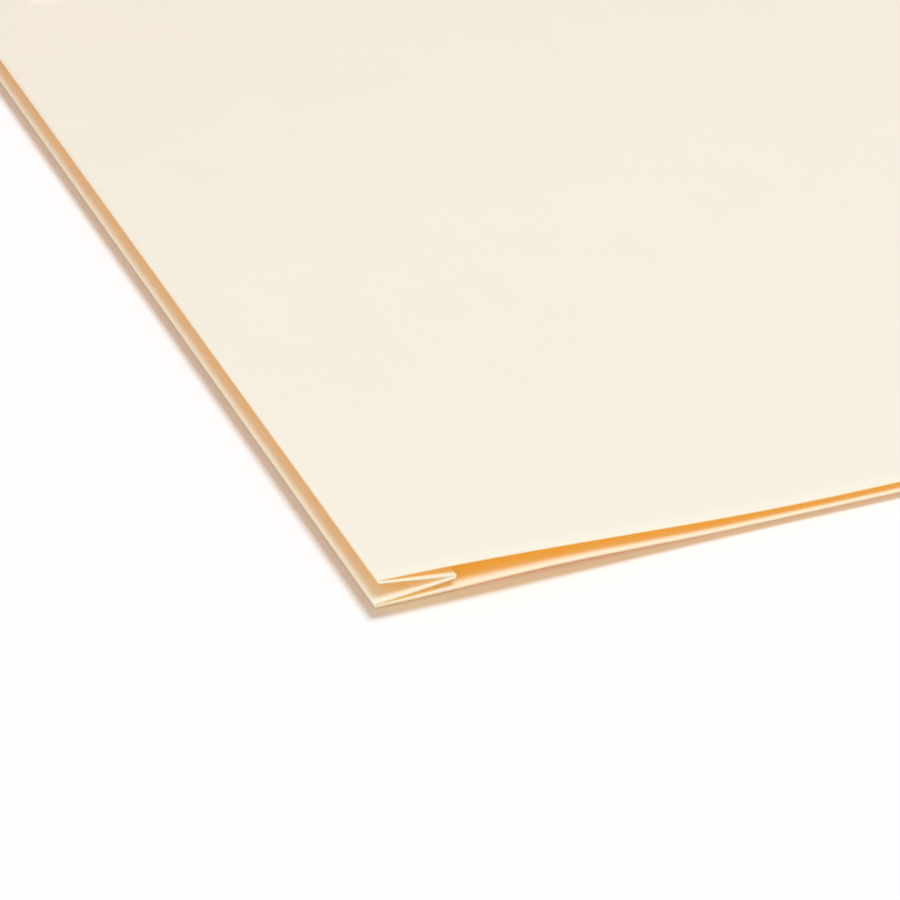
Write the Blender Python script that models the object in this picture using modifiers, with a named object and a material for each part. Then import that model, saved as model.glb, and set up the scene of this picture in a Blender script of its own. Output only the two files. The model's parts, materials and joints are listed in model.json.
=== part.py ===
"""Expanding file pocket: one manila blank folded into two panels that three V-pleated gussets join.

Metres, +Z up. The pocket lies on its back panel, with its mouth towards -Y and its bottom gusset at +Y.
The origin is under the middle of the pocket, on the surface that it lies on.
"""

import math

import bmesh
import bpy
from mathutils import Matrix

MM = 0.001

# Driving dimensions of the pocket
POCKET_WIDTH = 298.45 * MM  # along the mouth, between the outer folds
POCKET_HEIGHT = 241.3 * MM  # from the mouth to the bottom fold
LEAF_DEPTH = 12.7 * MM  # crease to crease, so two leaves open to one inch
SHEET = 0.45 * MM  # thickness of the manila stock
REST_ANGLE = math.radians(7.5)  # slope of every gusset leaf as the pocket lies

# Lap seams that close the blank under the right and bottom margins of the front panel
FLAP_WIDTH = 9.5 * MM
FLAP_SETBACK = 12 * MM  # from the end of the seam to the flap's square corner
GLUE_WIDTH = 6 * MM
GLUE_END_MARGIN = 4 * MM  # from the flap's slanted end to the end of the glue
GLUE_FILM = 0.05 * MM
LAP_RAMP = 2 * MM  # run over which the front panel steps up onto a flap
LAP_EDGE_GAP = 0.5 * MM  # from the foot of that step to the flap's free edge
EDGE_SETBACK = 1.5 * MM  # from a seam's outer fold to the front panel's cut edge

# Clearances
CREASE_CLEARANCE = 0.05 * MM  # between a crease bead and the sheet beside it
MITRE_GAP = 0.6 * MM  # kept by each leaf at the bottom corners
LAP_GAP = 0.02 * MM  # on each face of a glue film

CREASE_SIDES = 16

# Sizes worked out from the values above
HALF_WIDTH = POCKET_WIDTH / 2
HALF_HEIGHT = POCKET_HEIGHT / 2
CREASE_RADIUS = SHEET  # a sheet folded flat on itself ends in a bead of this radius
CREASE_INSET = CREASE_RADIUS  # from an outer fold to its crease axis
SHEET_START = CREASE_RADIUS + CREASE_CLEARANCE  # from a crease axis to the sheet beside it
PANEL_INSET = CREASE_INSET + SHEET_START  # from an outer fold to the edge of a panel
SIDE_AXIS = HALF_WIDTH - CREASE_INSET
BOTTOM_AXIS = HALF_HEIGHT - CREASE_INSET
BACK_AXIS_Z = SHEET  # the crease axes lie on the panels' inner faces
FRONT_AXIS_Z = BACK_AXIS_Z + 2 * (LEAF_DEPTH * math.sin(REST_ANGLE) + SHEET * math.cos(REST_ANGLE))
LAP_RISE = SHEET + GLUE_FILM + 2 * LAP_GAP
FLAP_END = SHEET_START + FLAP_WIDTH  # from a crease axis to the flap's free edge

# Colours of the stock and of the dried adhesive
MANILA = (0.90, 0.82, 0.68, 1.0)
ADHESIVE = (0.80, 0.72, 0.50, 1.0)
MANILA_ROUGHNESS = 0.75
ADHESIVE_ROUGHNESS = 0.35


def clear_scene():
    for old in list(bpy.data.objects):
        bpy.data.objects.remove(old, do_unlink=True)


def new_collection(name):
    collection = bpy.data.collections.new(name)
    bpy.context.scene.collection.children.link(collection)
    return collection


def principled(name, colour, roughness):
    material = bpy.data.materials.new(name)
    material.use_nodes = True
    shader = material.node_tree.nodes["Principled BSDF"]
    shader.inputs["Base Color"].default_value = colour
    shader.inputs["Roughness"].default_value = roughness
    shader.inputs["Metallic"].default_value = 0.0
    material.diffuse_color = colour
    return material


def place(obj, parent, location, turn=(0.0, 0.0, 0.0)):
    pocket.objects.link(obj)
    obj.parent = parent
    obj.location = location
    obj.rotation_euler = turn
    return obj


def finish(obj, colour=MANILA, roughness=MANILA_ROUGHNESS):
    obj.data.materials.append(principled(obj.name, colour, roughness))
    return obj


def axis_empty(name, parent, location, turn=(0.0, 0.0, 0.0)):
    empty = bpy.data.objects.new(name, None)
    empty.empty_display_size = LEAF_DEPTH
    return place(empty, parent, location, turn)


def flat_piece(name, outline, thickness, parent, base):
    """A flat outline given a thickness upwards from the point base of its parent."""
    curve = bpy.data.curves.new(name, "CURVE")
    curve.dimensions = "2D"
    curve.fill_mode = "BOTH"
    curve.extrude = thickness / 2
    spline = curve.splines.new("POLY")
    spline.points.add(len(outline) - 1)
    for point, (x, y) in zip(spline.points, outline):
        point.co = (x, y, 0.0, 1.0)
    spline.use_cyclic_u = True
    obj = bpy.data.objects.new(name, curve)
    return place(obj, parent, (base[0], base[1], base[2] + thickness / 2))


def crease_bead(name, low, high, parent, centre=(0.0, 0.0, 0.0), turn=0.0):
    """The rounded fold about a crease axis, along its parent's Y from low to high."""
    mesh = bpy.data.meshes.new(name)
    shape = bmesh.new()
    bmesh.ops.create_cone(
        shape,
        cap_ends=True,
        segments=CREASE_SIDES,
        radius1=CREASE_RADIUS,
        radius2=CREASE_RADIUS,
        depth=high - low,
        matrix=Matrix.Translation((0, (low + high) / 2, 0)) @ Matrix.Rotation(math.pi / 2, 4, "X"),
    )
    shape.to_mesh(mesh)
    shape.free()
    mesh.shade_smooth()
    mesh.set_sharp_from_angle(angle=math.radians(40))
    obj = bpy.data.objects.new(name, mesh)
    return finish(place(obj, parent, centre, (0.0, 0.0, turn)))


class Gusset:
    """One V-pleat. Its own X runs into the pocket, and its own Y runs along its creases.

    low and high are the ends of the crease line. An end at a bottom corner is mitred, so that the leaves of
    two gussets never meet.
    """

    def __init__(self, name, origin, heading, low, high, mitred_low, mitred_high):
        self.name = name
        self.origin = origin
        self.heading = heading
        self.low = low
        self.high = high
        self.mitred_low = mitred_low
        self.mitred_high = mitred_high
        self.back_axis = axis_empty(
            name + "_back_axis", None, (*origin, BACK_AXIS_Z), (0.0, -REST_ANGLE, heading)
        )
        self.inner_axis = axis_empty(
            name + "_inner_axis", self.back_axis, (LEAF_DEPTH, 0.0, SHEET), (0.0, 2 * REST_ANGLE, 0.0)
        )

    def low_end(self, depth, margin=MITRE_GAP):
        return self.low + depth + margin if self.mitred_low else self.low

    def high_end(self, depth, margin=MITRE_GAP):
        return self.high - depth - margin if self.mitred_high else self.high

    def strip(self, near, far, shift=0.0):
        """The outline between two depths from the outer crease, moved by shift along X."""
        return [
            (near + shift, self.low_end(near)),
            (far + shift, self.low_end(far)),
            (far + shift, self.high_end(far)),
            (near + shift, self.high_end(near)),
        ]

    def make_leaves(self):
        near = SHEET_START
        far = LEAF_DEPTH - SHEET_START
        lower = flat_piece(self.name + "_lower_leaf", self.strip(near, far), SHEET, self.back_axis, (0, 0, 0))
        outline = self.strip(near, far, -LEAF_DEPTH)
        upper = flat_piece(self.name + "_upper_leaf", outline, SHEET, self.inner_axis, (0, 0, 0))
        return finish(lower), finish(upper)

    def make_creases(self, front_axis, bead_low, bead_high):
        """The outer beads run from bead_low to bead_high, and the inner one stops short of the next gusset's."""
        base = axis_empty(self.name + "_crease_line", None, (*self.origin, BACK_AXIS_Z), (0, 0, self.heading))
        crease_bead(self.name + "_back_crease", bead_low, bead_high, base)
        inner_low = self.low_end(LEAF_DEPTH, SHEET_START)
        inner_high = self.high_end(LEAF_DEPTH, SHEET_START)
        inner_place = (LEAF_DEPTH, 0.0, SHEET)
        crease_bead(self.name + "_inner_crease", inner_low, inner_high, self.back_axis, inner_place)
        front_place = (self.origin[0] + SIDE_AXIS, self.origin[1], 0.0)
        crease_bead(self.name + "_front_crease", bead_low, bead_high, front_axis, front_place, self.heading)

    def make_lap(self, front_axis, low, high):
        """The glue flap under the front panel, and its band of glue.

        low and high give the flap's ends at a depth from the crease axis.
        """
        frame = axis_empty(
            self.name + "_flap_line",
            front_axis,
            (self.origin[0] + SIDE_AXIS, self.origin[1], 0.0),
            (0.0, 0.0, self.heading),
        )
        flap = [
            (SHEET_START, low(SHEET_START)),
            (FLAP_END, low(FLAP_END)),
            (FLAP_END, high(FLAP_END)),
            (SHEET_START, high(SHEET_START)),
        ]
        finish(flat_piece(self.name + "_glue_flap", flap, SHEET, frame, (0, 0, 0)))
        near = SHEET_START + (FLAP_WIDTH - GLUE_WIDTH) / 2
        far = near + GLUE_WIDTH
        glue = [
            (near, low(near) + GLUE_END_MARGIN),
            (far, low(far) + GLUE_END_MARGIN),
            (far, high(far) - GLUE_END_MARGIN),
            (near, high(near) - GLUE_END_MARGIN),
        ]
        film = flat_piece(self.name + "_glue_line", glue, GLUE_FILM, frame, (0, 0, SHEET + LAP_GAP))
        finish(film, ADHESIVE, ADHESIVE_ROUGHNESS)


def make_back_panel():
    edge_x = HALF_WIDTH - PANEL_INSET
    edge_y = HALF_HEIGHT - PANEL_INSET
    outline = [(-edge_x, -HALF_HEIGHT), (edge_x, -HALF_HEIGHT), (edge_x, edge_y), (-edge_x, edge_y)]
    finish(flat_piece("back_panel", outline, SHEET, None, (0, 0, 0)))


def make_front_panel(front_axis):
    """A sheet whose right and bottom margins step up onto the glue flaps."""
    lap_x = SIDE_AXIS - FLAP_END - LAP_EDGE_GAP
    lap_y = BOTTOM_AXIS - FLAP_END - LAP_EDGE_GAP
    lap_left = -HALF_WIDTH + FLAP_SETBACK
    lines_x = [
        -HALF_WIDTH + PANEL_INSET,
        lap_left,
        lap_left + LAP_RAMP,
        lap_x - LAP_RAMP,
        lap_x,
        HALF_WIDTH - EDGE_SETBACK,
    ]
    lines_y = [-HALF_HEIGHT, lap_y - LAP_RAMP, lap_y, HALF_HEIGHT - EDGE_SETBACK]
    mesh = bpy.data.meshes.new("front_panel")
    shape = bmesh.new()
    bmesh.ops.create_grid(shape, x_segments=len(lines_x) - 1, y_segments=len(lines_y) - 1, size=1.0)
    for vertex in shape.verts:
        column = round((vertex.co.x + 1) / 2 * (len(lines_x) - 1))
        row = round((vertex.co.y + 1) / 2 * (len(lines_y) - 1))
        over_right_flap = column >= 4
        over_bottom_flap = row >= 2 and column >= 2
        height = LAP_RISE if over_right_flap or over_bottom_flap else 0.0
        vertex.co = (lines_x[column] + SIDE_AXIS, lines_y[row], height)
    shape.to_mesh(mesh)
    shape.free()
    panel = bpy.data.objects.new("front_panel", mesh)
    thickness = panel.modifiers.new("sheet", "SOLIDIFY")
    thickness.thickness = SHEET
    thickness.offset = 1.0
    thickness.use_even_offset = True
    finish(place(panel, front_axis, (0, 0, 0)))


def make_pocket():
    left = Gusset("left", (-SIDE_AXIS, 0.0), 0.0, -HALF_HEIGHT, BOTTOM_AXIS, False, True)
    right = Gusset("right", (SIDE_AXIS, 0.0), math.pi, -BOTTOM_AXIS, HALF_HEIGHT, True, False)
    bottom = Gusset("bottom", (0.0, BOTTOM_AXIS), -math.pi / 2, -SIDE_AXIS, SIDE_AXIS, True, True)

    # The front panel hangs on the left gusset, and turns back level at the left front crease
    front_axis = axis_empty(
        "left_front_axis", left.inner_axis, (-LEAF_DEPTH, 0.0, SHEET), (0.0, -REST_ANGLE, 0.0)
    )
    make_back_panel()
    make_front_panel(front_axis)
    for gusset in (left, right, bottom):
        gusset.make_leaves()

    # The bottom beads run the full width, and the side beads stop short of them
    side_bead_end = HALF_HEIGHT - PANEL_INSET
    left.make_creases(front_axis, -HALF_HEIGHT, side_bead_end)
    right.make_creases(front_axis, -side_bead_end, HALF_HEIGHT)
    bottom.make_creases(front_axis, -HALF_WIDTH, HALF_WIDTH)

    # Each flap slants in at its ends, and the two flaps are mitred where they meet
    right.make_lap(front_axis, right.low_end, lambda depth: HALF_HEIGHT - FLAP_SETBACK - depth)
    bottom_start = -HALF_WIDTH + FLAP_SETBACK + LAP_RAMP + LAP_EDGE_GAP
    bottom.make_lap(front_axis, lambda depth: bottom_start + depth, bottom.high_end)


clear_scene()
pocket = new_collection("expanding_file_pocket")
make_pocket()
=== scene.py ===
"""Looks of the expanding file pocket: bowed manila sheets, smooth folds, paper, light and camera.

Metres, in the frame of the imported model: +X along the mouth, +Y from the mouth to the bottom fold, +Z up.
Every sheet is drawn right up to its crease axes, where a round fold about the same axis meets its faces.
Only the left front fold, with the edges of the two sheets that meet there, is set in from its crease axis.
"""

import json
import math

import bmesh
import bpy
from mathutils import Matrix, Vector


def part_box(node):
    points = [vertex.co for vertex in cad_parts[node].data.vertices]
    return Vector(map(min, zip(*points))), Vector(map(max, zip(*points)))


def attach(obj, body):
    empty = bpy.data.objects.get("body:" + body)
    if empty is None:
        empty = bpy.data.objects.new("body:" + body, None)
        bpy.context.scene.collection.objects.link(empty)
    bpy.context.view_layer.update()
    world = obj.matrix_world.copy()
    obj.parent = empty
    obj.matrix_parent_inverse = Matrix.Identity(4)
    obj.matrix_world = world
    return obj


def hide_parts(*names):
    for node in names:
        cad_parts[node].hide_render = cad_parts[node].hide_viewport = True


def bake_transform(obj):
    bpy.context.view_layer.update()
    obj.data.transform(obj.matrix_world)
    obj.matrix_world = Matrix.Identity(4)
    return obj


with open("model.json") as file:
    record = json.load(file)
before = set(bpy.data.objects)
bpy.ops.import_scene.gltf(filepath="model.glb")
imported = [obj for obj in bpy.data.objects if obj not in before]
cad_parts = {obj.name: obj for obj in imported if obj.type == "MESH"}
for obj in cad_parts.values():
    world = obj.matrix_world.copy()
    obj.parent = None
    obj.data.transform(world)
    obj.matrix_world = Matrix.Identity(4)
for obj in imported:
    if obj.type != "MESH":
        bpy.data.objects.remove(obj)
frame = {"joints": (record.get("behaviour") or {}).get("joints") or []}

MM = 0.001
X, Y = 0, 1  # places of the axes in a vector
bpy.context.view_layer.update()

# Sizes read from the frame
JOINTS = {joint["name"]: joint for joint in frame["joints"]}
BACK_AXIS = Vector(JOINTS["left_back_fold"]["pos_m"])
INNER_AXIS = Vector(JOINTS["left_inner_fold"]["pos_m"])
FRONT_AXIS = Vector(JOINTS["left_front_fold"]["pos_m"])
BOTTOM_AXIS = JOINTS["bottom_back_fold"]["pos_m"][Y]
SIDE_AXIS = -BACK_AXIS.x
BACK_LOW, BACK_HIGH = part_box("back_panel")
FRONT_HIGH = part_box("front_panel")[1]
SHEET = BACK_HIGH.z - BACK_LOW.z
MOUTH = BACK_LOW.y
LEAF_LINE = INNER_AXIS - BACK_AXIS
LEAF_DEPTH = math.sqrt(LEAF_LINE.length_squared - SHEET ** 2)
REST_ANGLE = math.atan2(LEAF_LINE.z, LEAF_LINE.x) - math.atan2(SHEET, LEAF_DEPTH)
OPEN_ANGLE = REST_ANGLE + math.radians(JOINTS["left_back_fold"]["range_deg"][1])
CREASE_GAP = BACK_LOW.x + SIDE_AXIS  # from a crease axis to the solid sheet beside it
RIGHT_FLAP_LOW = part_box("right_glue_flap")[0]
BOTTOM_FLAP_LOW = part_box("bottom_glue_flap")[0]
LAP_RISE = FRONT_HIGH.z - FRONT_AXIS.z - SHEET  # of the front panel onto a glue flap

# The front panel's step up onto the glue flaps
LAP_RAMP = 2 * MM  # run of the step
LAP_RAMP_SPACES = 6  # grid spaces along that run
LAP_EDGE_GAP = 0.5 * MM  # from the top of the step to the flap's free edge
RIGHT_STEP = RIGHT_FLAP_LOW.x - LAP_EDGE_GAP  # top of the step at the right margin
BOTTOM_STEP = BOTTOM_FLAP_LOW.y - LAP_EDGE_GAP  # top of the step at the bottom margin
LEFT_STEP = BOTTOM_FLAP_LOW.x - LAP_EDGE_GAP  # top of the step at the bottom flap's left end

# Edges and folds of the sheets
CUT_ROUNDING = 0.06 * MM  # softened arris of a die-cut edge
CUT_SEGMENTS = 2  # facets across that softened arris
ARRIS_ANGLE = math.radians(50)  # an edge sharper than this is an arris
SMOOTH_ANGLE = math.radians(35)  # an edge sharper than this is shaded as a sharp one
GRID_STEP = 3 * MM  # mesh size of the two bent panels
GRID_CLEARANCE = GRID_STEP / 4  # a grid line nearer than this to an extra line is left out
FOLD_SIDES = 32  # facets round a fold
FOLD_RECESS = 0.02 * MM  # a fold ends this far behind the cut edges beside it
FOLD_INSET = 0.52 * MM  # how far the left front fold has crept in from its crease axis

# Bend of the two panels
BOW_DEPTH = 2.71 * MM  # how far the front panel sinks between its side folds
BOW_RUN = 79 * MM  # from the left fold, or the foot of the right step, to the full depth
LIFT_HEIGHT = 0.57 * MM  # how far the back panel's mouth edge lifts near a side fold
LIFT_RUN = 60 * MM  # length of that wave along the mouth
LIFT_REACH = 70 * MM  # how far into the pocket the wave fades out
BELLY_DEPTH = 0.2 * MM  # how far the back panel sags below its edges, down to the floor
BELLY_RUN = 90 * MM  # from an edge to the full depth

# The camera
FRAME_PIXELS = 900
FOCAL_PIXELS = 3500  # focal length in pixels of the frame
SENSOR_WIDTH = 36.0  # Blender's own unit for sensors and lenses, millimetres
CAMERA_PLACE = Vector((-305.2, -534.1, 287.2)) * MM
CAMERA_YAW = math.radians(22.15)  # from +Y towards +X
CAMERA_PITCH = math.radians(30.437)  # downwards
CAMERA_NEAR = 0.01  # what is nearer than this isn't drawn

# Light: the key lamp on the floor, the top and fill lamps on the pocket, a room that is brighter in front
KEY_DIRECTION = Vector((0.43, 0.48, 1.0))  # towards the lamp, behind the pocket on the right
KEY_ANGLE = math.radians(15)  # how wide the lamp looks
KEY_COLOUR = (0.656, 0.852, 1.0)
KEY_STRENGTH = 2.345  # watts a square metre
TOP_DIRECTION = Vector((0.08, -0.37, 1.0))  # towards the lamp, from the mouth's left corner
TOP_DISTANCE = 1.7
TOP_SIZE = 0.843  # diameter of the lamp
TOP_COLOUR = (0.55, 0.775, 1.0)
TOP_STRENGTH = 19.2  # watts
FILL_DIRECTION = Vector((-1.0, -0.5, 0.7))  # towards the lamp, in front of the pocket on the left
FILL_ANGLE = math.radians(120)  # how wide the lamp looks
FILL_COLOUR = (1.0, 1.0, 0.7)
FILL_STRENGTH = 0.385  # watts a square metre
ROOM_FRONT_DIRECTION = Vector((-0.1, -1.0, 0.0))  # towards the brighter half
ROOM_FRONT = (0.703, 0.594, 0.385, 1.0)
ROOM_BACK = (0.47, 0.355, 0.414, 1.0)
ROOM_BLEND = 0.5  # half width of the change from front to back, as the sine of an angle
BACKDROP = (1.0, 1.0, 1.0, 1.0)  # what the eye and reflections see instead of the room
FLOOR_SIZE = 40.0
FLOOR_GAP = 0.02 * MM  # under the lowest part of the back panel
FLOOR_DEPTH = BELLY_DEPTH + FLOOR_GAP  # below the pocket's edges
FLOOR_WHITE = (0.98, 0.98, 0.98, 1.0)
FLOOR_ROUGHNESS = 0.9

# Manila stock
MANILA = (0.95, 0.865, 0.72, 1.0)
MANILA_ROUGHNESS = (0.7, 0.82)
MANILA_SPECULAR = 0.25
CLOUDS = 0.006  # how much the tone drifts over the sheet
CLOUD_SIZE = 14 * MM
CLOUD_DETAIL = 4.0
DARK_FLECKS = 0.02  # how much darker than the sheet a fibre fleck is
PALE_FLECKS = 0.01  # how much paler than the sheet the other kind is
FLECK_LENGTH = 2.5 * MM
FLECK_WIDTH = 0.25 * MM
FLECK_DETAIL = 2.0
FLECK_PEAKS = (0.64, 0.74)  # the noise values between which a fleck fades in
TOOTH_SIZE = 0.35 * MM  # grain of the surface
TOOTH_HEIGHT = 0.004 * MM
TOOTH_DETAIL = 3.0
NOISE_SPAN = (0.3, 0.7)  # the noise values that a drift of tone or gloss is spread over

# Light that has bounced: the share that comes through each face of a sheet, and its tint. Paper does let some
# light through, but these tints and shares are painted shade. They are set piece by piece for one and the
# same paper, and they give its colour to the shade inside the pocket, in the pleats and on the floor beside
# it
SHADE_TINT_SHARE = 0.92  # front panel, glue flaps and leaves
FRONT_SHADE_TINT = (1.0, 0.63, 0.02, 1.0)  # front panel and glue flaps
LOWER_SHADE_TINT = (1.0, 0.84, 0.38, 1.0)  # lower leaves
UPPER_SHADE_TINT = (1.0, 1.0, 1.0, 1.0)  # upper leaves, which take no tint
BACK_SHADE_TINT_SHARE = 0.6  # back panel; a smaller share, which paints the shade on the floor under the mouth edge less orange
# a pale tint, which paints the shade on the floor under the mouth edge less brown
BACK_SHADE_TINT = (1.0, 0.77, 0.68, 1.0)
FOLD_SHADE_TINT_SHARE = 0.85  # folds; a large share, which paints light into the shade on the floor at the foot of the left fold
FOLD_SHADE_TINT = (1.0, 0.98, 0.95, 1.0)

# Dried glue
ADHESIVE = (0.62, 0.47, 0.22, 1.0)
ADHESIVE_TONE = (0.85, 1.1)  # drift of that colour
ADHESIVE_ROUGHNESS = (0.3, 0.45)
ADHESIVE_RIPPLE = 1.5 * MM
ADHESIVE_DETAIL = 3.0
ADHESIVE_BUMP = 0.02 * MM


def smooth_step(value, start, end):
    """0 before start and 1 after end, with a level tangent at both."""
    share = min(1.0, max(0.0, (value - start) / (end - start)))
    return (1 - math.cos(math.pi * share)) / 2


def front_bow(x, y):
    """How far the front panel sinks below its side folds."""
    from_left = smooth_step(x, -SIDE_AXIS, -SIDE_AXIS + BOW_RUN)
    right_end = RIGHT_STEP - LAP_RAMP
    from_right = smooth_step(right_end - x, 0, BOW_RUN)
    bottom_end = BOTTOM_STEP - LAP_RAMP
    along = smooth_step(bottom_end - y, 0, bottom_end - MOUTH)
    return BOW_DEPTH * min(from_left, from_right) * along


def lap_rise(x, y):
    """How far the front panel's right and bottom margins step up over the glue flaps."""
    right = smooth_step(x, RIGHT_STEP - LAP_RAMP, RIGHT_STEP)
    bottom = smooth_step(y, BOTTOM_STEP - LAP_RAMP, BOTTOM_STEP)
    bottom *= smooth_step(x, LEFT_STEP - LAP_RAMP, LEFT_STEP)
    return LAP_RISE * max(right, bottom)


def back_lift(x, y):
    """How far the back panel lifts off the floor near the two mouth corners."""
    inward = SIDE_AXIS - abs(x)
    share = min(1.0, inward / LIFT_RUN)
    fade = 1 - smooth_step(y, MOUTH, MOUTH + LIFT_REACH)
    return LIFT_HEIGHT * math.sin(math.pi * share) ** 2 * fade


def back_sag(x, y):
    """How far the back panel hangs below its edges, until it rests on the floor."""
    from_side = smooth_step(SIDE_AXIS - abs(x), 0, BELLY_RUN)
    from_end = smooth_step(min(y - MOUTH, BOTTOM_AXIS - y), 0, BELLY_RUN)
    return BELLY_DEPTH * from_side * from_end


def new_piece(name, shape, matrix=Matrix.Identity(4)):
    """An object with the given shape, placed by matrix."""
    mesh = bpy.data.meshes.new(name)
    shape.to_mesh(mesh)
    shape.free()
    mesh.transform(matrix)
    mesh.shade_smooth()
    mesh.set_sharp_from_angle(angle=SMOOTH_ANGLE)
    piece = bpy.data.objects.new(name, mesh)
    bpy.context.scene.collection.objects.link(piece)
    return piece


def dress(piece, material, body, node):
    """Gives a piece its material, and lets it stand for a node on a body, where one is named."""
    piece.data.materials.append(material)
    if body:
        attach(piece, body)
    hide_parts(node)
    return piece


def soften_edges(shape, rounding=CUT_ROUNDING):
    """Rounds the arrises of a sheet's cut edges."""
    arrises = [edge for edge in shape.edges if edge.calc_face_angle(0.0) > ARRIS_ANGLE]
    bmesh.ops.bevel(
        shape,
        geom=arrises,
        offset=rounding,
        offset_type="OFFSET",
        segments=CUT_SEGMENTS,
        profile=0.5,  # round
        affect="EDGES",
    )


def steps_between(start, end, extra=()):
    """Grid lines about GRID_STEP apart, with extra lines added."""
    count = round((end - start) / GRID_STEP)
    lines = [start + (end - start) * index / count for index in range(count + 1)]
    far_enough = [line for line in lines if all(abs(line - other) > GRID_CLEARANCE for other in extra)]
    return sorted({start, end, *far_enough, *extra})


def bent_sheet(name, lines_x, lines_y, height):
    """A sheet on the grid of the two sets of lines, with its underside at height(x, y)."""
    shape = bmesh.new()
    columns = len(lines_x) - 1
    rows = len(lines_y) - 1
    bmesh.ops.create_grid(shape, x_segments=columns, y_segments=rows, size=1.0)
    for vertex in shape.verts:
        x = lines_x[round((vertex.co.x + 1) / 2 * columns)]
        y = lines_y[round((vertex.co.y + 1) / 2 * rows)]
        vertex.co = (x, y, height(x, y))
    bottom = list(shape.faces)
    copy = bmesh.ops.extrude_face_region(shape, geom=bottom)["geom"]
    top = [item for item in copy if isinstance(item, bmesh.types.BMVert)]
    bmesh.ops.translate(shape, verts=top, vec=(0, 0, SHEET))
    bmesh.ops.recalc_face_normals(shape, faces=list(shape.faces))
    soften_edges(shape)
    return new_piece(name, shape)


def flat_sheet(name, outline, thickness, matrix):
    """A flat outline with a thickness upwards, placed by matrix."""
    shape = bmesh.new()
    corners = [shape.verts.new((x, y, 0.0)) for x, y in outline]
    base = shape.faces.new(corners)
    copy = bmesh.ops.extrude_face_region(shape, geom=[base])["geom"]
    top = [item for item in copy if isinstance(item, bmesh.types.BMVert)]
    bmesh.ops.translate(shape, verts=top, vec=(0, 0, thickness))
    bmesh.ops.recalc_face_normals(shape, faces=list(shape.faces))
    soften_edges(shape, min(CUT_ROUNDING, thickness / 3))  # less on a thin film
    return new_piece(name, shape, matrix)


def round_fold(name, low, high, matrix):
    """The rounded outside of a fold, along its crease axis from low to high."""
    shape = bmesh.new()
    low += FOLD_RECESS
    high -= FOLD_RECESS
    turn = Matrix.Rotation(math.pi / 2, 4, "X")
    bmesh.ops.create_cone(
        shape,
        cap_ends=True,
        segments=FOLD_SIDES,
        radius1=SHEET,
        radius2=SHEET,
        depth=high - low,
        matrix=Matrix.Translation((0, (low + high) / 2, 0)) @ turn,
    )
    soften_edges(shape)
    return new_piece(name, shape, matrix)


def leaf_frame(origin, heading, slope):
    """A leaf's own axes: X into the pocket, Y along the crease, Z out of its upper face."""
    turn = Matrix.Rotation(heading, 4, "Z") @ Matrix.Rotation(-slope, 4, "Y")
    return Matrix.Translation(origin) @ turn


class Gusset:
    """One V-pleat, along its crease line from low to high.

    The leaves run right into the bottom corners, where they stand edge to edge when the pocket is fully open.
    When it is less open they cross, where the real paper is pinched into a tuck.
    A trim gives how far the end of a leaf stops short of the corner's crease axis, at some depth from its
    own outer crease.
    """

    def __init__(self, name, outer, heading, low, high, low_trim, high_trim, inset=0.0):
        self.name = name
        self.heading = heading
        self.low = low
        self.high = high
        self.low_trim = low_trim
        self.high_trim = high_trim
        self.inset = inset
        self.back = Vector((*outer, BACK_AXIS.z))
        self.front = Vector((*outer, FRONT_AXIS.z))
        reach = Matrix.Rotation(heading, 4, "Z") @ Vector((LEAF_LINE.x, 0, LEAF_LINE.z))
        self.inner = self.back + reach

    def low_end(self, depth):
        return self.low + self.low_trim(depth)

    def high_end(self, depth):
        return self.high - self.high_trim(depth)

    def make_leaf(self, level, origin, slope, shift, start, material):
        """One leaf, with its outer crease at shift on its own X axis, and its sheet from start inwards."""
        name = f"{self.name}_{level}_leaf"
        outline = [
            (shift + start, self.low_end(start)),
            (shift + LEAF_DEPTH, self.low_end(LEAF_DEPTH)),
            (shift + LEAF_DEPTH, self.high_end(LEAF_DEPTH)),
            (shift + start, self.high_end(start)),
        ]
        leaf = flat_sheet(name + "_sheet", outline, SHEET, leaf_frame(origin, self.heading, slope))
        dress(leaf, material, name, name)

    def make_fold(self, level, origin, low, high, body, material):
        name = f"{self.name}_{level}_crease"
        fold = round_fold(name + "_fold", low, high, leaf_frame(origin, self.heading, 0.0))
        return dress(fold, material, body, name)

    def make(self, bead_low, bead_high, lower_material, upper_material, fold_material):
        """Both leaves and the three folds. The outer folds run from bead_low to bead_high."""
        self.make_leaf("lower", self.back, REST_ANGLE, 0.0, 0.0, lower_material)
        self.make_leaf("upper", self.inner, -REST_ANGLE, -LEAF_DEPTH, self.inset, upper_material)
        inner_low = self.low_end(LEAF_DEPTH)
        inner_high = self.high_end(LEAF_DEPTH)
        self.make_fold("back", self.back, bead_low, bead_high, "back_panel", fold_material)
        self.make_fold("inner", self.inner, inner_low, inner_high, self.name + "_lower_leaf", fold_material)
        if not self.inset:
            self.make_fold("front", self.front, bead_low, bead_high, "front_panel", fold_material)
            return
        front = self.front + Vector((self.inset, 0, 0))
        fold = self.make_fold("front", front, bead_low, bead_high, None, fold_material)
        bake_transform(fold)


def no_trim(depth):
    """At the mouth a leaf ends level with the panels."""
    return 0.0


def side_trim(depth):
    """In a corner a side leaf ends level with the outside of the open bottom leaf."""
    return depth * math.cos(OPEN_ANGLE) - SHEET + CUT_ROUNDING


def bottom_trim(depth):
    """In a corner a bottom leaf ends against the inside of the open side leaf."""
    return depth * math.cos(OPEN_ANGLE) + CUT_ROUNDING


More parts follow.
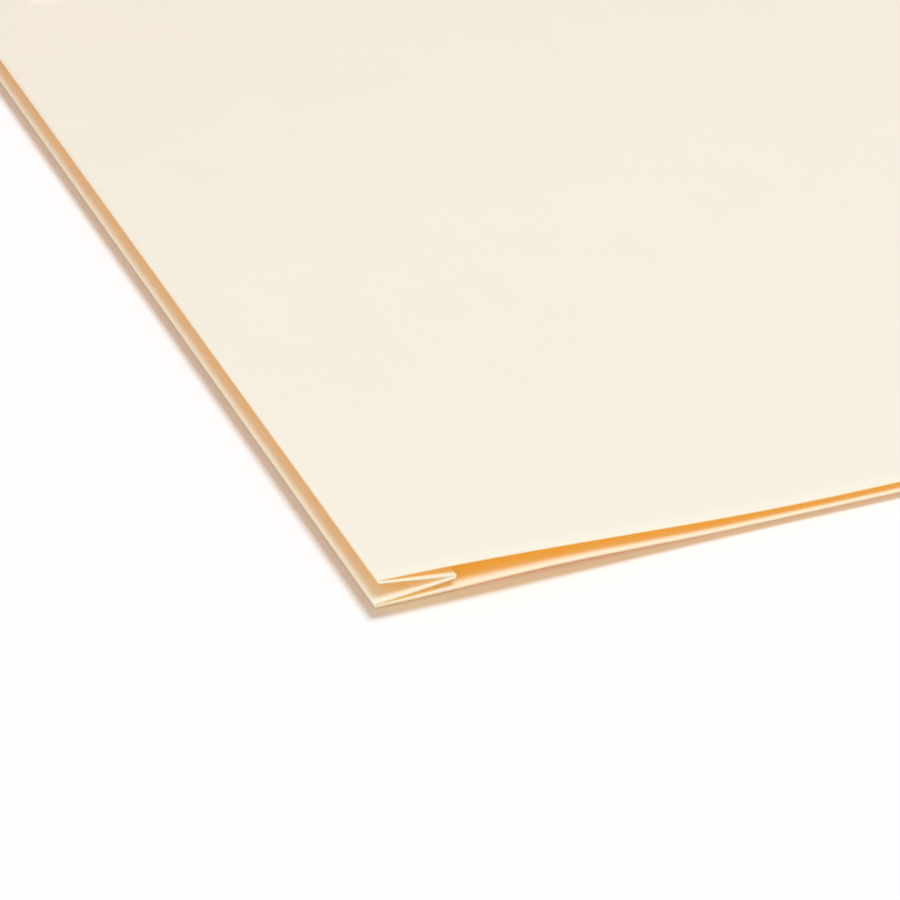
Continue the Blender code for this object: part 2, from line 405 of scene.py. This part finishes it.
def make_gussets(*materials):
    """All three pleats. The materials are for the lower leaves, the upper leaves and the folds."""
    bead_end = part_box("left_back_crease")[1].y
    width_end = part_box("bottom_back_crease")[1].x
    left = Gusset("left", (-SIDE_AXIS, 0.0), 0.0, MOUTH, BOTTOM_AXIS, no_trim, side_trim, FOLD_INSET)
    right = Gusset("right", (SIDE_AXIS, 0.0), math.pi, -BOTTOM_AXIS, -MOUTH, side_trim, no_trim)
    bottom = Gusset(
        "bottom", (0.0, BOTTOM_AXIS), -math.pi / 2, -SIDE_AXIS, SIDE_AXIS, bottom_trim, bottom_trim
    )
    left.make(MOUTH, bead_end, *materials)
    right.make(-bead_end, -MOUTH, *materials)
    bottom.make(-width_end, width_end, *materials)


def make_back_panel(material):
    lines_x = steps_between(-SIDE_AXIS, SIDE_AXIS)
    lines_y = steps_between(MOUTH, BOTTOM_AXIS)
    panel = bent_sheet("back_panel_sheet", lines_x, lines_y, lambda x, y: back_lift(x, y) - back_sag(x, y))
    dress(panel, material, "back_panel", "back_panel")


def make_front_panel(material):
    ramp = [LAP_RAMP * index / LAP_RAMP_SPACES for index in range(LAP_RAMP_SPACES + 1)]
    ramps_x = [top - step for top in (RIGHT_STEP, LEFT_STEP) for step in ramp]
    ramps_y = [BOTTOM_STEP - step for step in ramp]
    lines_x = steps_between(-SIDE_AXIS + FOLD_INSET, FRONT_HIGH.x, ramps_x)
    lines_y = steps_between(MOUTH, FRONT_HIGH.y, ramps_y)
    panel = bent_sheet(
        "front_panel_sheet", lines_x, lines_y, lambda x, y: FRONT_AXIS.z - front_bow(x, y) + lap_rise(x, y)
    )
    dress(panel, material, "front_panel", "front_panel")


def lap_outline(low, high, near, far, across):
    """A band with 45 degree ends, from its long edge at near to its short edge at far.

    across is the axis from near to far, X or Y, and low and high are its ends on the other axis.
    """
    inset = abs(far - near)
    outline = [(near, low), (far, low + inset), (far, high - inset), (near, high)]
    return outline if across == X else [(x, y) for y, x in outline]


def make_flap(side, crease, across, material):
    """The glue flap from a side's crease inwards, under the margin of the front panel."""
    node = side + "_glue_flap"
    flap_low, flap_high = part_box(node)
    along = Y if across == X else X
    low = flap_low[along] - CREASE_GAP
    high = flap_high[along] + CREASE_GAP
    outline = lap_outline(low, high, crease, flap_low[across], across)
    flap = flat_sheet(node + "_sheet", outline, SHEET, Matrix.Translation((0, 0, FRONT_AXIS.z)))
    dress(flap, material, "front_panel", node)


def make_glue(side, across, material):
    """The film of glue on a side's flap."""
    node = side + "_glue_line"
    low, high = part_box(node)
    along = Y if across == X else X
    outline = lap_outline(low[along], high[along], high[across], low[across], across)
    film = flat_sheet(side + "_glue_film", outline, high.z - low.z, Matrix.Translation((0, 0, low.z)))
    dress(film, material, "front_panel", node)


def make_laps(manila, adhesive):
    make_flap("right", SIDE_AXIS, X, manila)
    make_flap("bottom", BOTTOM_AXIS, Y, manila)
    make_glue("right", X, adhesive)
    make_glue("bottom", Y, adhesive)


def add_math(owner, operation, first, second):
    """What an operation gives for one socket and another socket or a number."""
    links = owner.node_tree.links
    node = owner.node_tree.nodes.new("ShaderNodeMath")
    node.operation = operation
    links.new(first, node.inputs[0])
    if isinstance(second, float):
        node.inputs[1].default_value = second
    else:
        links.new(second, node.inputs[1])
    return node.outputs["Value"]


def add_noise(material, size, detail):
    """A noise texture whose features have the given sizes along X, Y and Z."""
    nodes = material.node_tree.nodes
    links = material.node_tree.links
    place = nodes.new("ShaderNodeTexCoord")
    scale = nodes.new("ShaderNodeVectorMath")
    scale.operation = "DIVIDE"
    scale.inputs[1].default_value = size
    noise = nodes.new("ShaderNodeTexNoise")
    noise.inputs["Scale"].default_value = 1.0
    noise.inputs["Detail"].default_value = detail
    links.new(place.outputs["Object"], scale.inputs[0])
    links.new(scale.outputs["Vector"], noise.inputs["Vector"])
    return noise.outputs["Fac"]


def add_range(material, value, from_range, to_range):
    """A value carried from one range to another, and held at its ends."""
    nodes = material.node_tree.nodes
    node = nodes.new("ShaderNodeMapRange")
    node.inputs["From Min"].default_value, node.inputs["From Max"].default_value = from_range
    node.inputs["To Min"].default_value, node.inputs["To Max"].default_value = to_range
    material.node_tree.links.new(value, node.inputs["Value"])
    return node.outputs["Result"]


def add_tint(material, colour, value):
    """A colour made darker or lighter by a value about 1."""
    nodes = material.node_tree.nodes
    links = material.node_tree.links
    tint = nodes.new("ShaderNodeVectorMath")
    tint.operation = "SCALE"
    if isinstance(colour, tuple):
        tint.inputs[0].default_value = colour[:3]
    else:
        links.new(colour, tint.inputs[0])
    links.new(value, tint.inputs["Scale"])
    return tint.outputs["Vector"]


def add_bump(material, shader, value, height):
    """Gives a shader's surface a relief of the given height."""
    nodes = material.node_tree.nodes
    links = material.node_tree.links
    bump = nodes.new("ShaderNodeBump")
    bump.inputs["Distance"].default_value = height
    links.new(value, bump.inputs["Height"])
    links.new(bump.outputs["Normal"], shader.inputs["Normal"])


def make_manila(name, shade_tint_colour, shade_tint_share):
    """Paper with faint clouds, fibre flecks and tooth.

    The eye sees its own colour. Most of the light that has bounced passes through it and takes a tint, and so
    warms the inside of the pocket. Paper is translucent, but that tint and its share are painted shade. They
    are given piece by piece, and they set the colour of the shade inside the pocket, in the pleats and on the
    floor.
    """
    material = bpy.data.materials.new(name)
    material.use_nodes = True
    nodes = material.node_tree.nodes
    links = material.node_tree.links
    shader = nodes["Principled BSDF"]
    clouds = add_noise(material, (CLOUD_SIZE, CLOUD_SIZE, CLOUD_SIZE), CLOUD_DETAIL)
    drift = add_range(material, clouds, NOISE_SPAN, (1 - CLOUDS, 1 + CLOUDS))
    along = add_noise(material, (FLECK_LENGTH, FLECK_WIDTH, FLECK_WIDTH), FLECK_DETAIL)
    across = add_noise(material, (FLECK_WIDTH, FLECK_LENGTH, FLECK_WIDTH), FLECK_DETAIL)
    dark_flecks = add_range(material, along, FLECK_PEAKS, (1.0, 1 - DARK_FLECKS))
    pale_flecks = add_range(material, across, FLECK_PEAKS, (1.0, 1 + PALE_FLECKS))
    colour = add_tint(material, MANILA, drift)
    colour = add_tint(material, colour, dark_flecks)
    colour = add_tint(material, colour, pale_flecks)
    links.new(colour, shader.inputs["Base Color"])
    tooth = add_noise(material, (TOOTH_SIZE, TOOTH_SIZE, TOOTH_SIZE), TOOTH_DETAIL)
    links.new(add_range(material, tooth, NOISE_SPAN, MANILA_ROUGHNESS), shader.inputs["Roughness"])
    add_bump(material, shader, tooth, TOOTH_HEIGHT)
    shader.inputs["Specular IOR Level"].default_value = MANILA_SPECULAR
    # Painted shade: only bounced light passes through this tint, which colours the shade it reaches
    shade_tint_bsdf = nodes.new("ShaderNodeBsdfTranslucent")
    shade_tint_bsdf.inputs["Color"].default_value = shade_tint_colour
    ray = nodes.new("ShaderNodeLightPath").outputs
    mix = nodes.new("ShaderNodeMixShader")
    links.new(add_math(material, "MULTIPLY", ray["Is Diffuse Ray"], shade_tint_share), mix.inputs["Fac"])
    links.new(shader.outputs["BSDF"], mix.inputs[1])
    links.new(shade_tint_bsdf.outputs["BSDF"], mix.inputs[2])
    links.new(mix.outputs["Shader"], nodes["Material Output"].inputs["Surface"])
    return material


def make_adhesive():
    """Dried glue, uneven in tone and gloss, with ripples."""
    material = bpy.data.materials.new("dried_adhesive")
    material.use_nodes = True
    shader = material.node_tree.nodes["Principled BSDF"]
    film = add_noise(material, (ADHESIVE_RIPPLE, ADHESIVE_RIPPLE, ADHESIVE_RIPPLE), ADHESIVE_DETAIL)
    tone = add_range(material, film, NOISE_SPAN, ADHESIVE_TONE)
    material.node_tree.links.new(add_tint(material, ADHESIVE, tone), shader.inputs["Base Color"])
    gloss = add_range(material, film, NOISE_SPAN, ADHESIVE_ROUGHNESS)
    material.node_tree.links.new(gloss, shader.inputs["Roughness"])
    add_bump(material, shader, film, ADHESIVE_BUMP)
    return material


def make_floor():
    bpy.ops.mesh.primitive_plane_add(size=FLOOR_SIZE, location=(0, 0, -FLOOR_DEPTH))
    floor = bpy.context.object
    floor.name = "floor"
    material = bpy.data.materials.new("floor")
    material.use_nodes = True
    shader = material.node_tree.nodes["Principled BSDF"]
    shader.inputs["Base Color"].default_value = FLOOR_WHITE
    shader.inputs["Roughness"].default_value = FLOOR_ROUGHNESS
    shader.inputs["Specular IOR Level"].default_value = 0.0
    floor.data.materials.append(material)
    return floor


def add_lamp(name, kind, direction, colour, strength):
    """A lamp that shines from the given direction."""
    lamp = bpy.data.lights.new(name, kind)
    lamp.color = colour
    lamp.energy = strength
    holder = bpy.data.objects.new(name, lamp)
    holder.rotation_mode = "QUATERNION"
    holder.rotation_quaternion = direction.to_track_quat("Z", "Y")
    bpy.context.scene.collection.objects.link(holder)
    return holder


def light_only(lamp, name, receivers):
    """Lets a lamp light nothing but the receivers."""
    group = bpy.data.collections.new(name)
    for receiver in receivers:
        group.objects.link(receiver)
    lamp.light_linking.receiver_collection = group


def make_lights(floor):
    pocket = [item for item in bpy.context.scene.objects if item.type == "MESH" and item != floor]
    key = add_lamp("key", "SUN", KEY_DIRECTION, KEY_COLOUR, KEY_STRENGTH)
    key.data.angle = KEY_ANGLE
    top = add_lamp("top", "AREA", TOP_DIRECTION, TOP_COLOUR, TOP_STRENGTH)
    top.data.shape = "DISK"
    top.data.size = TOP_SIZE
    top.location = Vector((-SIDE_AXIS, MOUTH, 0.0)) + TOP_DIRECTION.normalized() * TOP_DISTANCE
    top.visible_camera = False
    fill = add_lamp("fill", "SUN", FILL_DIRECTION, FILL_COLOUR, FILL_STRENGTH)
    fill.data.angle = FILL_ANGLE
    light_only(key, "lit_by_key", [floor])
    light_only(top, "lit_by_top", pocket)
    light_only(fill, "lit_by_fill", pocket)


def make_room():
    """Light from all round, brighter in front.

    The eye, reflections and clear glass see it as plain white. Light scattered through paper, which is a
    transmission ray and a diffuse ray at once, sees the room.
    """
    world = bpy.data.worlds.new("room")
    world.use_nodes = True
    nodes = world.node_tree.nodes
    links = world.node_tree.links
    direction = nodes.new("ShaderNodeTexCoord")
    towards_front = nodes.new("ShaderNodeVectorMath")
    towards_front.operation = "DOT_PRODUCT"
    towards_front.inputs[1].default_value = ROOM_FRONT_DIRECTION.normalized()
    share = nodes.new("ShaderNodeMapRange")
    share.interpolation_type = "SMOOTHSTEP"
    share.inputs["From Min"].default_value = -ROOM_BLEND
    share.inputs["From Max"].default_value = ROOM_BLEND
    colour = nodes.new("ShaderNodeMix")
    colour.data_type = "RGBA"
    colour.inputs["A"].default_value = ROOM_BACK
    colour.inputs["B"].default_value = ROOM_FRONT
    room = nodes["Background"]
    white = nodes.new("ShaderNodeBackground")
    white.inputs["Color"].default_value = BACKDROP
    ray = nodes.new("ShaderNodeLightPath").outputs
    through_glass = add_math(world, "SUBTRACT", ray["Is Transmission Ray"], ray["Is Diffuse Ray"])
    not_scattered = add_math(world, "MAXIMUM", ray["Is Glossy Ray"], through_glass)
    seen = add_math(world, "MAXIMUM", ray["Is Camera Ray"], not_scattered)
    mix = nodes.new("ShaderNodeMixShader")
    links.new(direction.outputs["Generated"], towards_front.inputs[0])
    links.new(towards_front.outputs["Value"], share.inputs["Value"])
    links.new(share.outputs["Result"], colour.inputs["Factor"])
    links.new(colour.outputs["Result"], room.inputs["Color"])
    links.new(seen, mix.inputs["Fac"])
    links.new(room.outputs["Background"], mix.inputs[1])
    links.new(white.outputs["Background"], mix.inputs[2])
    links.new(mix.outputs["Shader"], nodes["World Output"].inputs["Surface"])
    bpy.context.scene.world = world


def make_camera():
    data = bpy.data.cameras.new("camera")
    data.sensor_width = SENSOR_WIDTH
    data.lens = FOCAL_PIXELS / FRAME_PIXELS * SENSOR_WIDTH
    data.clip_start = CAMERA_NEAR
    camera = bpy.data.objects.new("camera", data)
    camera.location = CAMERA_PLACE
    camera.rotation_euler = (math.pi / 2 - CAMERA_PITCH, 0.0, -CAMERA_YAW)
    bpy.context.scene.collection.objects.link(camera)
    bpy.context.scene.camera = camera


# The whole scene
# Copies of one paper that differ only in their painted shade tints. These tints colour the shade inside the
# pocket, in the pleats and on the floor
manila = make_manila("manila", FRONT_SHADE_TINT, SHADE_TINT_SHARE)
make_back_panel(make_manila("manila_on_floor_shade_tint", BACK_SHADE_TINT, BACK_SHADE_TINT_SHARE))
make_front_panel(manila)
lower_manila = make_manila("manila_lower_leaf_shade_tint", LOWER_SHADE_TINT, SHADE_TINT_SHARE)
upper_manila = make_manila("manila_upper_leaf_shade_tint", UPPER_SHADE_TINT, SHADE_TINT_SHARE)
fold_manila = make_manila("manila_fold_shade_tint", FOLD_SHADE_TINT, FOLD_SHADE_TINT_SHARE)
make_gussets(lower_manila, upper_manila, fold_manila)
make_laps(manila, make_adhesive())
make_lights(make_floor())
make_room()
make_camera()
bpy.context.scene.view_settings.view_transform = "Standard"
